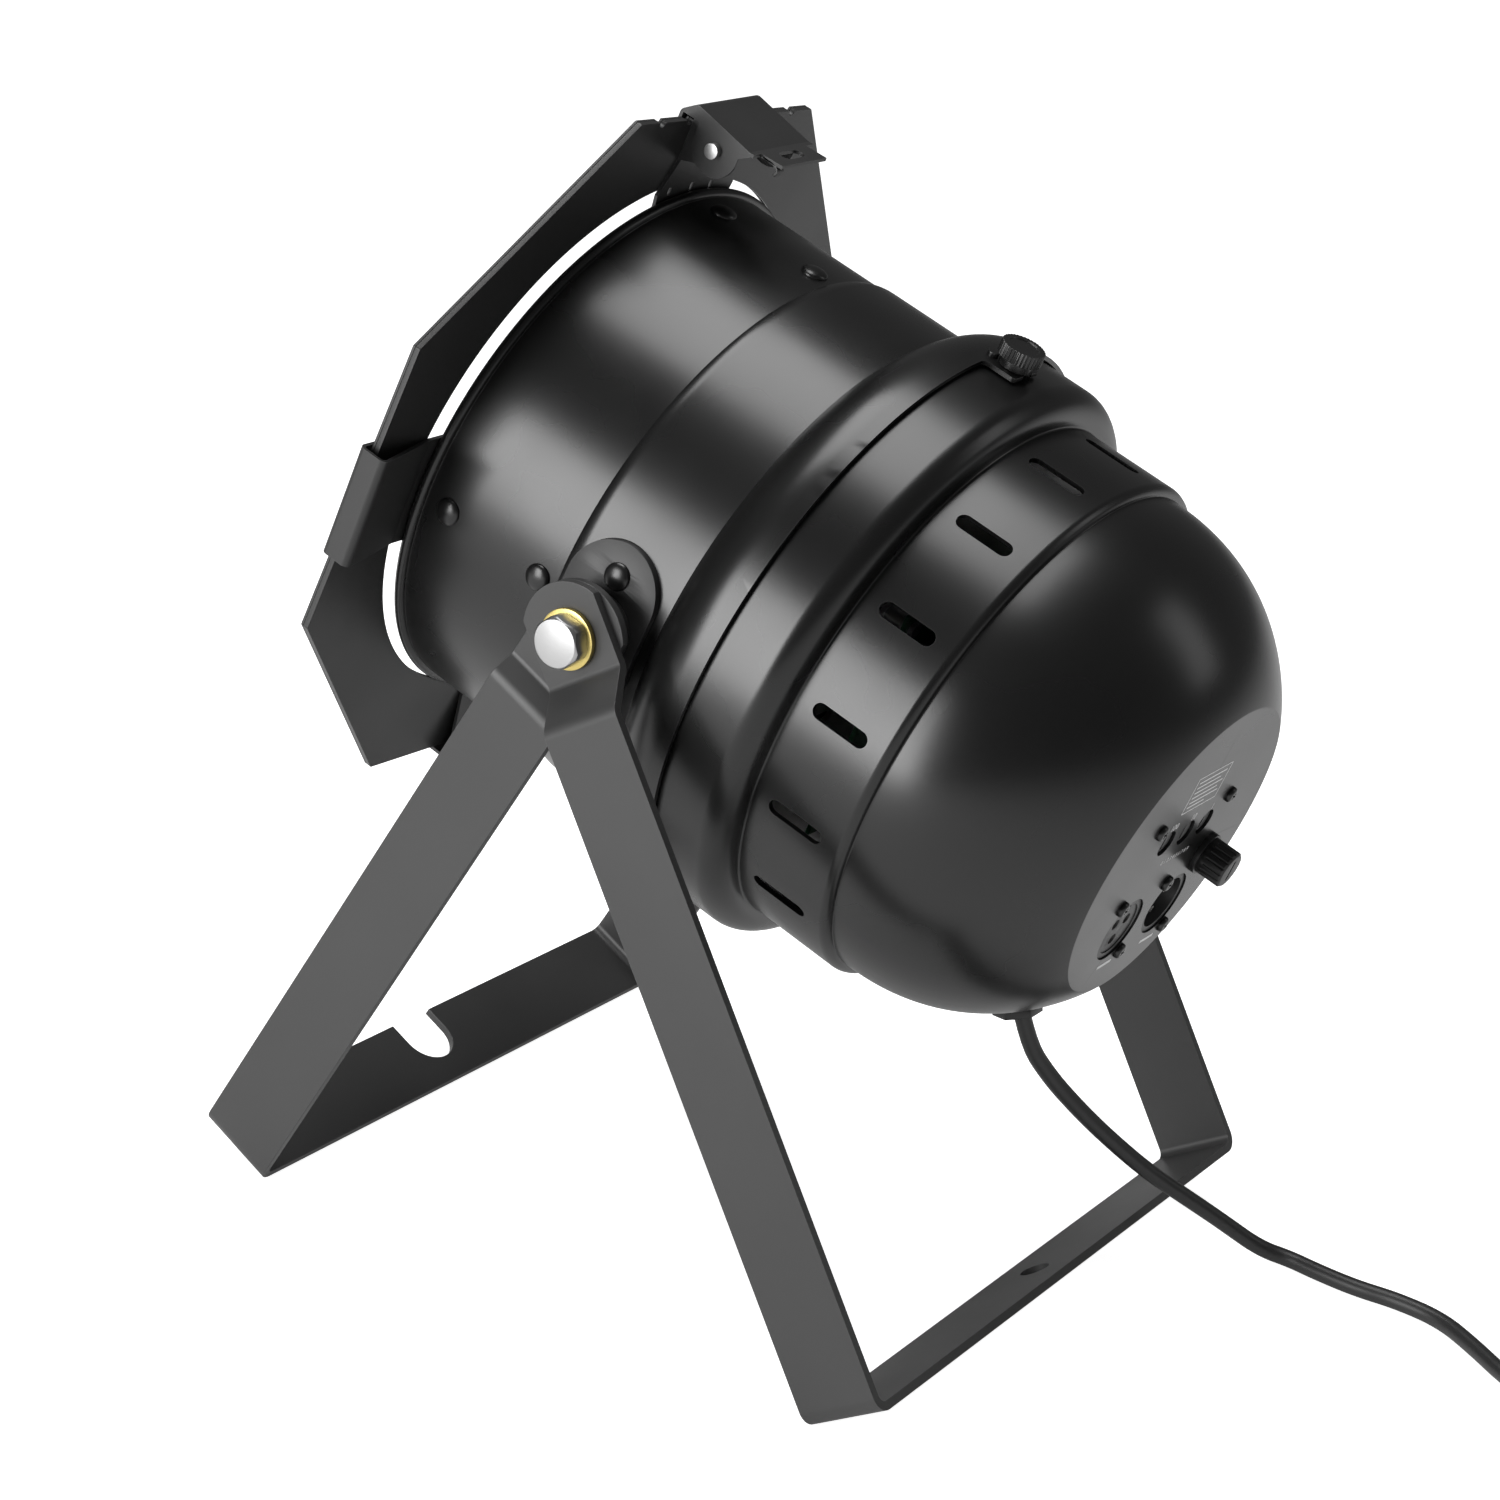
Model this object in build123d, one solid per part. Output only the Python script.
from build123d import *
import math
import os

os.makedirs("parts", exist_ok=True)

# Par can light, standing on its two splayed brackets. All lengths in mm.
#
# Part frame: X along the pivot axis, Y to the rear, Z up, floor at Z = 0.
# Can frame: x along the pivot axis, s rearwards along the beam axis, u upwards across the beam,
# with its origin where the pivot axis crosses the beam axis. Solids are made with (x, s, u) as (X, Y, Z).

CUT = 6.0                   # how far a cutter runs past what it cuts
OVERLAP = 2.0               # how far joined shapes reach into each other

# ---------------------------------------------------------------- stance
CAN_TILT = 19.0             # beam above the horizontal, degrees
OUTER_LEAN = 31.4           # outer bracket behind the vertical, degrees

# ---------------------------------------------------------------- brackets
STRIP_WIDTH = 30.0
STRIP_THICK = 3.0
STRIP_BEND = 3.0            # inside radius of each fold
OUTER_REACH = 259.5         # pivot to the outside of the outer bracket's crossbar
OUTER_HALF_SPAN = 127.2     # pivot plane to the outside of the outer bracket's leg
NEST_BELOW = 2.5            # gap between the crossbars when the inner bracket folds into the outer
NEST_BESIDE = 5.0           # gap between the legs
EAR_FACE = 113.4            # plane where the two brackets' ears meet
EAR_END = 18.2              # radius of an ear's rounded end
OUTER_JOGGLE_TOP = 14.0     # below the pivot
OUTER_JOGGLE_END = 26.0
INNER_JOGGLE_TOP = 22.0
INNER_JOGGLE_END = 28.5
MOUNT_HOLE = 10.5           # diameter, for an M10 bolt
NOTCH_WIDTH = 21.4          # clamp notch in the inner bracket's crossbar
NOTCH_CENTRE_X = 4.1
NOTCH_ROUND_DEPTH = 9.4     # strip edge to the middle of the notch's round end

# ---------------------------------------------------------------- front barrel
WALL = 1.5
RIM_FRONT = -81.0
BEAD_RADIUS = 1.9
FIRST_RADIUS = 97.75
STEP_1 = -21.5
STEP_1_ROUND = 10.0
SECOND_RADIUS = 98.8
STEP_2 = 19.3
BELL_ROUND = 22.0
LIP_RADIUS = 109.4
LIP_END = 42.6
TAB_HALF_WIDTH = 8.0
TAB_END = 55.0
TAB_SLOT_SPARE = 0.3        # room beside the thumb screw in the tab's slot
GASKET_INSIDE = 104.5

# ---------------------------------------------------------------- rear housing
SHELL = 1.8
CUP_RADIUS = 107.1
CUP_FRONT = 34.0
SHOULDER_START = 60.0
SHOULDER_END = 68.8
BELT_RADIUS = 96.0
BELT_END = 102.4
NECK_RADIUS = 92.8
DOME_START = 106.4
DOME_FULLNESS = 46.0
PANEL_FACE = 171.6
PANEL_RADIUS = 55.4
PANEL_TURN_S = 0.6          # how the dome runs in to the panel's edge
PANEL_TURN_R = 1.2
VENT_COUNT = 16
VENT_LENGTH = 21.1
VENT_WIDTH = 5.5
VENT_MIDDLE = 85.85

# ---------------------------------------------------------------- thumb screw and locating stud
KNOB_S = 49.7
KNOB_RADIUS = 7.5
KNOB_HEIGHT = 4.6           # of the gripped head
KNOB_COLLAR = 3.1           # height of the collar between tab and head
KNOB_COLLAR_RADIUS = 5.8
KNOB_CHAMFER = 0.6
KNOB_GRIPS = 24
KNOB_GRIP_RADIUS = 0.6
KNOB_GRIP_OUT = 0.2         # a grip's centre stands this far outside the head
THREAD_M5 = 2.5
M5_HOLE_SPARE = 0.3
M5_NUT_FLATS = 8.0
KNOB_NUT_HEIGHT = 4.5
KNOB_TIP_SPARE = 2.0        # thread that stands out below the nut
STUD_S = 42.0
STUD_X = 2.3
STUD_HEAD_RADIUS = 2.0
STUD_HEAD = 1.6
STUD_SEAT = 0.2             # the flat head stands this far over the curved lip
STUD_TAIL = 0.4             # shank below the lip's inside

# ---------------------------------------------------------------- pivot
BOLT_RADIUS = 5.0           # M10
BOLT_FLATS = 16.0
BOLT_HEAD = 6.0
PIVOT_WASHER_RADIUS = 10.0
PIVOT_WASHER = 2.0
SPACER_RADIUS = 12.0
LUG_LENGTH = 58.0           # across the beam
LUG_WIDTH = 34.0            # along the beam
LUG_THICK = 2.5
LUG_CENTRE = -1.5
LUG_RIVET_U = 18.4
WELD_NUT_DEPTH = 9.0
BOLT_SPARE = 2.0            # thread past the weld nut
BOLT_CORNER = 0.6           # the head's turned face reaches this far past its flats
BOLT_CHAMFER = 0.9
RUN_CLEARANCE = 0.05        # shaft in a hole that turns on it

# ---------------------------------------------------------------- rivets
RIVET_HEAD_RADIUS = 4.6
RIVET_HEAD = 2.0
RIVET_CROWN = 0.8           # share of the head's height that is rounded
RIVET_RADIUS = 2.0
RIVET_TAIL_RADIUS = 2.9
RIVET_TAIL = 1.4
RIVET_SEAT = 0.05           # between a rivet's tail and the sheet
QUARTERS = (0, 90, 180, 270)
CLIP_RIVET_S = -68.0
MID_RIVET_S = -28.5

# ---------------------------------------------------------------- colour frame, clips and latch
SHEET = 1.2
SHEET_BEND = 1.2
FRAME_FLATS = 254.0
FRAME_OPENING = 101.5
FRAME_OPENING_X = 1.5       # the opening isn't quite in the octagon's middle
FRAME_OPENING_U = 2.5
FRAME_LAYER = 1.0
FRAME_THICK = 3.0
FRAME_EDGE = 4.5            # width of the raised edge between the layers, at a flat's middle
FRAME_BACK = -82.4
FRAME_TURN = 2.8            # the frame sits slightly askew in its clips, degrees
FRAME_SHIFT_X = 0.6
FRAME_NOTCH = 1.8
FRAME_NOTCHES = (-40.0, -24.0, 24.0, 40.0)
CLIP_WIDTH = 40.0
CLIP_ROOM = 3.8             # clip's outside beyond the frame's flat
CLIP_FRONT = -87.5
CLIP_CORNER = -76.2
CLIP_LIP = 12.0             # how far the lip reaches down over the frame
CLIP_FOOT_END = -60.0
CLIP_KNEE = 102.0
CLIP_ROOT = 8.0             # the sheet is drawn this far inside the foot, then cut round
LATCH_PIN_S = -70.3
LATCH_PIN_DROP = 4.9        # pin below the frame's top edge
LATCH_PIN_RADIUS = 2.0
LATCH_BOLT_HEAD = 2.6
LATCH_BOLT_HEIGHT = 2.4
LATCH_HALF_WIDTH = 18.0
LATCH_LIP_S = -87.0         # middle line of the lip in front of the frame
LATCH_LIP_DROP = 8.5        # lip below the frame's top edge
LATCH_LIP_TOP = 0.8         # where the lip turns back, above the frame's top edge
LATCH_FRONT = -82.2         # front end of the top plate
LATCH_FRONT_RISE = 4.8      # its middle line above the frame's top edge
LATCH_FOLD = -58.3
LATCH_FOLD_RISE = 0.6
LATCH_TAIL_S = -47.5
LATCH_TAIL_RISE = 1.0
LATCH_TAIL_HALF_WIDTH = 13.5
LATCH_TAIL_ROOT = 2.0       # full width behind the fold
LATCH_SLOT = 12.0
LATCH_SLOT_WIDTH = 4.5
LATCH_EAR = 9.0
LATCH_STRAP_RISE = 0.5      # lower edge of the side flanges above the frame's top edge
LATCH_NUT_FLATS = 5.5
LATCH_BOLT_SPARE = 1.0
BASE_EAR = 6.5
BASE_ROOT_HALF_WIDTH = 20.0
BASE_HIP_HALF_WIDTH = 22.5
BASE_ROOT_DROP = 8.25       # plate's lower end, below the barrel's inside
BASE_HIP_RISE = 3.25
BASE_WAIST_RISE = 15.75

# ---------------------------------------------------------------- rear panel
XLR_U = -27.6
XLR_FEMALE_X = 13.9
XLR_MALE_X = -17.3
XLR_HOLE_RADIUS = 12.0
XLR_BARREL_RADIUS = 11.8
XLR_FLANGE_WIDTH = 26.0
XLR_FLANGE_HEIGHT = 31.0
XLR_FLANGE = 2.0
XLR_DEPTH = 24.0
XLR_RECESS = 0.6
XLR_BORE = 9.8
XLR_SCREW_X = 9.5
XLR_SCREW_U = 12.0
XLR_PIN_CIRCLE = 4.6
XLR_PIN_RADIUS = 1.2
XLR_SOCKET_DEPTH = 14.0
M3 = 1.5
SCREW_HEAD_RADIUS = 2.8
SCREW_HEAD = 1.7
PANEL_SCREW_X = 24.7
PANEL_SCREW_U = 15.6
DIAL_PITCH = 13.65
DIAL_U = 7.7
DIAL_HOLE = 4.8
DIAL_ROTOR = 4.3
DIAL_ROTOR_FACE = 170.6
DIAL_ROTOR_THICK = 4.0
DIAL_BODY = 12.0
DIAL_BODY_FACE = 168.6
CONTROL_BOARD_FACE = 156.6
BOARD = 1.6
FUSE_X = -28.5
FUSE_U = -9.5
FUSE_TUBE = 6.0
FUSE_FLANGE = 7.6
FUSE_FLANGE_THICK = 2.0
FUSE_CAP = 6.7
FUSE_CAP_END = 183.2
FUSE_BODY_END = 140.0
FUSE_NUT = 8.6
FUSE_NUT_THICK = 3.0

# ---------------------------------------------------------------- cable gland and mains cord
GLAND_S = 147.5
GLAND_SEAT_RADIUS = 9.5
GLAND_SEAT_PROUD = 0.2
GLAND_SEAT_DEPTH = 3.4
GLAND_TUBE = 6.0
GLAND_FLATS = 15.0
GLAND_NUT_HEIGHT = 4.4
GLAND_INNER_HEIGHT = 4.0
CORD_RADIUS = 3.0
CORD_INSIDE = 10.0          # cord inside the gland, measured from the dome
CORD_DROP = 20.0            # straight stretch below the gland, measured from the dome
COIL_TURN = 33.0            # middle radius of the coil
COIL_SIDE = 12.0            # two turns wide and two high
COIL_X = -77.4
COIL_Y = 324.9              # behind the pivot
COIL_STUB = 24.0
COIL_LEAD = 26.0            # last straight stretch of the cord before the coil's own end
COIL_ENTRY = -27.0          # where the cord meets the coil, degrees from +X
COIL_EXIT = 120.0
PLUG_RADIUS = 19.0
PLUG_HEIGHT = 20.0
PLUG_RELIEF = 25.0
PLUG_PIN_RADIUS = 2.4
PLUG_PIN_LENGTH = 19.0
PLUG_PIN_PITCH = 19.0

# ---------------------------------------------------------------- light engine
SPREADER_RADIUS = 91.0
SPREADER = 3.0
LED_BOARD_RADIUS = 90.0
LED_BOARD_FACE = -30.0
LENS_PITCH = 24.0
LENS_BACK_RADIUS = 4.5
LENS_FRONT_RADIUS = 10.2
LENS_HEIGHT = 12.0
LENS_RIM = 1.5
LENS_RINGS = 3
MASK_BACK = -40.2
MASK_THICK = 1.0
ENGINE_SCREW_R = 86.5
ENGINE_FLANGE_DEPTH = 16.0
ENGINE_FOOT_WIDTH = 16.0
ENGINE_FOOT_FRONT = -34.0

# ---------------------------------------------------------------- chassis and power supply
CHASSIS_THICK = 2.0
CHASSIS_RADIUS = 97.3
CHASSIS_HOLE = 18.0
CHASSIS_STUD_R = 96.0
STANDOFF_RADIUS = 3.0
STANDOFF = 8.0
SUPPLY_WIDTH = 112.0
SUPPLY_HEIGHT = 86.0
SUPPLY_HOLE_INSET = 5.0
TERMINALS = (-24.0, -34.0)
TERMINAL_HEIGHT = 12.0
LOOM_RADIUS = 2.2
LOOM_HOLE_U = -66.0

# ---------------------------------------------------------------- derived
outer_corner = math.hypot(OUTER_REACH, STRIP_WIDTH / 2)
outer_half = math.degrees(math.atan2(STRIP_WIDTH / 2, OUTER_REACH))
PIVOT_HEIGHT = outer_corner * math.cos(math.radians(OUTER_LEAN - outer_half))
INNER_REACH = OUTER_REACH - STRIP_THICK - NEST_BELOW
INNER_HALF_SPAN = OUTER_HALF_SPAN - STRIP_THICK - NEST_BESIDE
inner_corner = math.hypot(INNER_REACH, STRIP_WIDTH / 2)
inner_half = math.degrees(math.atan2(STRIP_WIDTH / 2, INNER_REACH))
INNER_LEAN = inner_half + math.degrees(math.acos(PIVOT_HEIGHT / inner_corner))
WASHER_FACE = EAR_FACE + STRIP_THICK
HEAD_FACE = WASHER_FACE + PIVOT_WASHER
INNER_EAR_FACE = EAR_FACE - STRIP_THICK
FOOT_RADIUS = FIRST_RADIUS - WALL
FRAME_EDGE_U = FRAME_FLATS / 2
CLIP_OUTSIDE = FRAME_EDGE_U + CLIP_ROOM
LATCH_PIN_U = FRAME_EDGE_U - LATCH_PIN_DROP
SPREADER_FACE = LED_BOARD_FACE + BOARD
ENGINE_FLANGE_FACE = SPREADER_FACE + SPREADER
PANEL_BACK = PANEL_FACE - SHELL
LEDGE = SHOULDER_END - SHELL
CHASSIS_BACK = LEDGE
SUPPLY_FACE = CHASSIS_BACK + STANDOFF


# ---------------------------------------------------------------- helpers
def plate(face, s_from, s_to):
    """A face drawn in (x, u), given a thickness along the beam."""
    return extrude(Plane.XZ.offset(-s_from) * face, -(s_to - s_from))


def across(face, x_from, x_to):
    """A face drawn in (s, u), given a width along the pivot axis."""
    return extrude(Plane.YZ.offset(x_from) * face, x_to - x_from)


def rod(radius, s_from, s_to, x=0.0, u=0.0):
    """A round bar along the beam."""
    return plate(Pos(x, u) * Circle(radius), s_from, s_to)


def tube(outer, inner, s_from, s_to, x=0.0, u=0.0):
    return rod(outer, s_from, s_to, x, u) - rod(inner, s_from - CUT, s_to + CUT, x, u)


def block(half_width, s_from, s_to, u_from, u_to):
    """A square block on the middle plane."""
    face = Pos(0, (s_from + s_to) / 2, u_from) * Rectangle(2 * half_width, s_to - s_from)
    return extrude(face, u_to - u_from)


def post(radius, u_from, u_to, s, x=0.0):
    """A round bar that points up, away from the beam axis."""
    return extrude(Pos(x, s, u_from) * Circle(radius), u_to - u_from)


def rivet_hole(s):
    """Cutter for a rivet's hole in the barrel wall and what is fixed to it."""
    return post(RIVET_RADIUS, FOOT_RADIUS - CUT, LUG_TOP + CUT, s)


def pin(radius, x_from, x_to, s=0.0, u=0.0):
    """A round bar along the pivot axis."""
    return across(Pos(s, u) * Circle(radius), x_from, x_to)


def turned(shape, angle):
    """Turned about the beam axis: 0 is up, 90 is towards +X."""
    return Rot(0, angle, 0) * shape


def mirrored(shape):
    return mirror(shape, about=Plane.YZ)


def lathe(edges):
    """A profile drawn in (s, r), turned round the beam axis."""
    return revolve(Plane.YZ * make_face(edges), axis=Axis.Y)


def hexagon(flats):
    return RegularPolygon(flats / math.sqrt(3), 6)


def folded(points, thickness, bend):
    """Edge-on face of a folded strip. The points follow its middle line; bend is the inside radius."""
    count = len(points)
    ways = []
    for i in range(count - 1):
        da = points[i + 1][0] - points[i][0]
        db = points[i + 1][1] - points[i][1]
        size = math.hypot(da, db)
        ways.append((da / size, db / size))
    sides = []
    for sign in (1, -1):
        moved = []
        radii = []
        for i in range(count):
            before = ways[max(i - 1, 0)]
            after = ways[min(i, count - 2)]
            total_a = -before[1] - after[1]
            total_b = before[0] + after[0]
            share = 1 + before[0] * after[0] + before[1] * after[1]
            step = sign * thickness / 2 / share
            moved.append((points[i][0] + step * total_a, points[i][1] + step * total_b))
            if 0 < i < count - 1:
                turn = before[0] * after[1] - before[1] * after[0]
                radii.append(bend if turn * sign > 0 else bend + thickness)
        sides.append(FilletPolyline(*moved, radius=radii))
    left, right = sides
    edges = [*left.edges(), *right.edges(), Line(left @ 0, right @ 0), Line(left @ 1, right @ 1)]
    return make_face(edges)


def shoulder_centre(start, low, high, radius):
    """Centre of the arc that lifts a wall from one radius to a larger one and ends level."""
    rise = high - low
    run = math.sqrt(2 * radius * rise - rise * rise)
    return (start + run, high - radius)


def shoulder_arc(centre, radius, low):
    start = 180 - math.degrees(math.asin((low - centre[1]) / radius))
    return CenterArc(centre, radius, start, 90 - start)


STEP_1_CENTRE = shoulder_centre(STEP_1, FIRST_RADIUS, SECOND_RADIUS, STEP_1_ROUND)
BELL_CENTRE = shoulder_centre(STEP_2, SECOND_RADIUS, LIP_RADIUS, BELL_ROUND)
LUG_TOP = SECOND_RADIUS + LUG_THICK
LUG_RIVET_TURN = math.degrees(math.asin(LUG_RIVET_U / LUG_TOP))
LUG_RIVET_ANGLES = (90 - LUG_RIVET_TURN, 90 + LUG_RIVET_TURN, -90 - LUG_RIVET_TURN, -90 + LUG_RIVET_TURN)


# ---------------------------------------------------------------- front barrel
def barrel_side(depth):
    """The barrel's wall line, moved in by depth, from the rim to the lip."""
    first = shoulder_arc(STEP_1_CENTRE, STEP_1_ROUND - depth, FIRST_RADIUS - depth)
    bell = shoulder_arc(BELL_CENTRE, BELL_ROUND - depth, SECOND_RADIUS - depth)
    front = Line((RIM_FRONT + BEAD_RADIUS, FIRST_RADIUS - depth), first @ 0)
    middle = Line(first @ 1, bell @ 0)
    back = Line(bell @ 1, (LIP_END, LIP_RADIUS - depth))
    return front, [front, first, middle, bell, back]


def front_barrel():
    front_out, outside = barrel_side(0.0)
    front_in, inside = barrel_side(WALL)
    ends = [Line(front_out @ 0, front_in @ 0), Line(outside[-1] @ 1, inside[-1] @ 1)]
    shell = lathe(outside + inside + ends)
    bead_centre = (RIM_FRONT + BEAD_RADIUS, FOOT_RADIUS + BEAD_RADIUS)
    bead = revolve(Plane.YZ * (Pos(*bead_centre) * Circle(BEAD_RADIUS)), axis=Axis.Y)
    tab = tube(LIP_RADIUS, LIP_RADIUS - WALL, LIP_END - OVERLAP, TAB_END)
    tab &= block(TAB_HALF_WIDTH, LIP_END - OVERLAP, TAB_END, LIP_RADIUS - CUT, LIP_RADIUS + CUT)
    slot_half = THREAD_M5 + TAB_SLOT_SPARE
    tab -= block(slot_half, KNOB_S, TAB_END + CUT, LIP_RADIUS - CUT, LIP_RADIUS + CUT)
    tab -= post(slot_half, LIP_RADIUS - CUT, LIP_RADIUS + CUT, KNOB_S)
    body = shell + bead + tab
    for angle in QUARTERS:
        body -= turned(rivet_hole(CLIP_RIVET_S), angle)
        body -= turned(rivet_hole(MID_RIVET_S), angle)
    body -= pin(BOLT_RADIUS, -LUG_TOP, LUG_TOP)
    for angle in LUG_RIVET_ANGLES:
        body -= turned(rivet_hole(LUG_CENTRE), angle)
    body -= post(RIVET_RADIUS, LIP_RADIUS - CUT, LIP_RADIUS + CUT, STUD_S, STUD_X)
    return body


def seam_gasket():
    inner_round = BELL_ROUND - WALL
    rise = GASKET_INSIDE - BELL_CENTRE[1]
    start = 180 - math.degrees(math.asin(rise / inner_round))
    end = math.degrees(math.acos((CUP_FRONT - BELL_CENTRE[0]) / inner_round))
    seat = CenterArc(BELL_CENTRE, inner_round, start, end - start)
    corner = (CUP_FRONT, GASKET_INSIDE)
    return lathe([seat, Line(seat @ 1, corner), Line(corner, seat @ 0)])


def locating_stud():
    """Small riveted stud on the lip, in front of the thumb screw."""
    top = math.sqrt(LIP_RADIUS ** 2 - STUD_X ** 2)
    seat = top + STUD_SEAT
    head = post(STUD_HEAD_RADIUS, seat, seat + STUD_HEAD, STUD_S, STUD_X)
    return head + post(RIVET_RADIUS, top - WALL - STUD_TAIL, seat, STUD_S, STUD_X)


# ---------------------------------------------------------------- rivets
def rivet(outside, inside, s):
    """A domed rivet that clamps from radius inside to radius outside, pointing up."""
    head = post(RIVET_HEAD_RADIUS, outside, outside + RIVET_HEAD, s)
    rim = head.edges().sort_by(Axis.Z)[-1]
    head = fillet(rim, RIVET_HEAD * RIVET_CROWN)
    shank = post(RIVET_RADIUS, inside, outside, s)
    tail = post(RIVET_TAIL_RADIUS, inside - RIVET_TAIL, inside, s)
    return head + shank + tail


def barrel_rivets():
    foot_inside = FOOT_RADIUS - SHEET
    solids = []
    for angle in QUARTERS:
        for s in (CLIP_RIVET_S, MID_RIVET_S):
            solids.append(turned(rivet(FIRST_RADIUS, foot_inside - RIVET_SEAT, s), angle))
    return Compound(children=solids + [locating_stud()])


def lug_rivets():
    """Rivets through the lug plates, square to the barrel."""
    one = rivet(LUG_TOP, SECOND_RADIUS - WALL - RIVET_SEAT, LUG_CENTRE)
    return Compound(children=[turned(one, angle) for angle in LUG_RIVET_ANGLES])


# ---------------------------------------------------------------- clips
def sheet_foot(half_width, s_from, s_to):
    """Part of a sheet fitting that lies inside the barrel wall, at the top."""
    shell = tube(FOOT_RADIUS, FOOT_RADIUS - SHEET, s_from, s_to)
    middle = (s_from + s_to) / 2
    return shell & Pos(0, middle, FOOT_RADIUS) * Box(2 * half_width, s_to - s_from, 40)


def clip():
    """A channel that holds one edge of the colour frame, pointing up."""
    half = SHEET / 2
    plate_mid = FRAME_BACK + half
    points = [(plate_mid, FOOT_RADIUS - CLIP_ROOT), (plate_mid, CLIP_KNEE),
              (CLIP_CORNER - half, CLIP_OUTSIDE - half), (CLIP_FRONT + half, CLIP_OUTSIDE - half),
              (CLIP_FRONT + half, FRAME_EDGE_U - CLIP_LIP)]
    channel = across(folded(points, SHEET, SHEET_BEND), -CLIP_WIDTH / 2, CLIP_WIDTH / 2)
    channel -= rod(FOOT_RADIUS - SHEET, CLIP_FRONT, CLIP_FOOT_END)
    foot = sheet_foot(CLIP_WIDTH / 2, FRAME_BACK + SHEET / 2, CLIP_FOOT_END)
    return channel + foot - rivet_hole(CLIP_RIVET_S)


def latch_base():
    """Sheet bracket riveted inside the rim, with two ears that carry the latch bolt."""
    upper = LATCH_HALF_WIDTH - SHEET
    root = FOOT_RADIUS - BASE_ROOT_DROP
    hip = FOOT_RADIUS + BASE_HIP_RISE
    waist = FOOT_RADIUS + BASE_WAIST_RISE
    outline = Polyline((-BASE_ROOT_HALF_WIDTH, root), (BASE_ROOT_HALF_WIDTH, root),
                       (BASE_HIP_HALF_WIDTH, hip), (upper, waist), (upper, FRAME_EDGE_U),
                       (-upper, FRAME_EDGE_U), (-upper, waist), (-BASE_HIP_HALF_WIDTH, hip),
                       (-BASE_ROOT_HALF_WIDTH, root))
    front = plate(make_face(outline), FRAME_BACK, FRAME_BACK + SHEET)
    front -= rod(FOOT_RADIUS - SHEET, CLIP_FRONT, CLIP_FOOT_END)
    foot = sheet_foot(BASE_ROOT_HALF_WIDTH, FRAME_BACK + SHEET / 2, CLIP_FOOT_END)
    reach = BASE_EAR * math.sqrt(0.5)
    ear_line = Polyline((FRAME_BACK, waist), (FRAME_BACK, FRAME_EDGE_U),
                        (LATCH_PIN_S, LATCH_PIN_U + BASE_EAR),
                        (LATCH_PIN_S + reach, LATCH_PIN_U - reach), (FRAME_BACK, waist))
    ear_face = make_face(ear_line) + Pos(LATCH_PIN_S, LATCH_PIN_U) * Circle(BASE_EAR)
    ear = across(ear_face, upper - SHEET, upper)
    body = front + foot + ear + mirrored(ear) - rivet_hole(CLIP_RIVET_S)
    side = LATCH_HALF_WIDTH + CUT
    return body - pin(LATCH_PIN_RADIUS, -side, side, LATCH_PIN_S, LATCH_PIN_U)


def latch_arm():
    """Folded channel over the frame's top edge, with a tail plate to push on."""
    front = (LATCH_FRONT, FRAME_EDGE_U + LATCH_FRONT_RISE)
    fold = (LATCH_FOLD, FRAME_EDGE_U + LATCH_FOLD_RISE)
    turn = (LATCH_LIP_S, FRAME_EDGE_U + LATCH_LIP_TOP)
    points = [(LATCH_LIP_S, FRAME_EDGE_U - LATCH_LIP_DROP), turn, front, fold,
              (LATCH_TAIL_S, FRAME_EDGE_U + LATCH_TAIL_RISE)]
    web = across(folded(points, SHEET, SHEET_BEND), -LATCH_HALF_WIDTH, LATCH_HALF_WIDTH)
    tail_start = LATCH_FOLD + LATCH_TAIL_ROOT
    low = FRAME_EDGE_U - CUT
    high = FRAME_EDGE_U + CUT
    ends = block(LATCH_HALF_WIDTH + CUT, tail_start, LATCH_TAIL_S + CUT, low, high)
    ends -= block(LATCH_TAIL_HALF_WIDTH, tail_start, LATCH_TAIL_S + CUT, low, high)
    web -= ends
    slot = Pos(0, (LATCH_FOLD + LATCH_TAIL_S) / 2, low) * SlotOverall(LATCH_SLOT, LATCH_SLOT_WIDTH)
    web -= extrude(slot, high - low)
    strap = FRAME_EDGE_U + LATCH_STRAP_RISE
    before = LATCH_PIN_S - LATCH_EAR
    after = LATCH_PIN_S + LATCH_EAR
    share = (after - front[0]) / (fold[0] - front[0])
    after_top = front[1] + share * (fold[1] - front[1])
    flange = Polyline(front, turn, (LATCH_LIP_S, strap), (before, strap), (before, LATCH_PIN_U),
                      (after, LATCH_PIN_U), (after, after_top), front)
    ear_face = make_face(flange) + Pos(LATCH_PIN_S, LATCH_PIN_U) * Circle(LATCH_EAR)
    ear = across(ear_face, LATCH_HALF_WIDTH - SHEET, LATCH_HALF_WIDTH)
    body = web + ear + mirrored(ear)
    side = LATCH_HALF_WIDTH + CUT
    bore = LATCH_PIN_RADIUS + RUN_CLEARANCE
    return body - pin(bore, -side, side, LATCH_PIN_S, LATCH_PIN_U)


def latch_bolt():
    """Bolt through the ears, with its nut."""
    side = LATCH_HALF_WIDTH
    nut_end = -side - LATCH_BOLT_HEIGHT
    head = pin(LATCH_BOLT_HEAD, side, side + LATCH_BOLT_HEIGHT, LATCH_PIN_S, LATCH_PIN_U)
    shank = pin(LATCH_PIN_RADIUS, nut_end - LATCH_BOLT_SPARE, side, LATCH_PIN_S, LATCH_PIN_U)
    nut = across(Pos(LATCH_PIN_S, LATCH_PIN_U) * hexagon(LATCH_NUT_FLATS), nut_end, -side)
    return head + shank + nut


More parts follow.
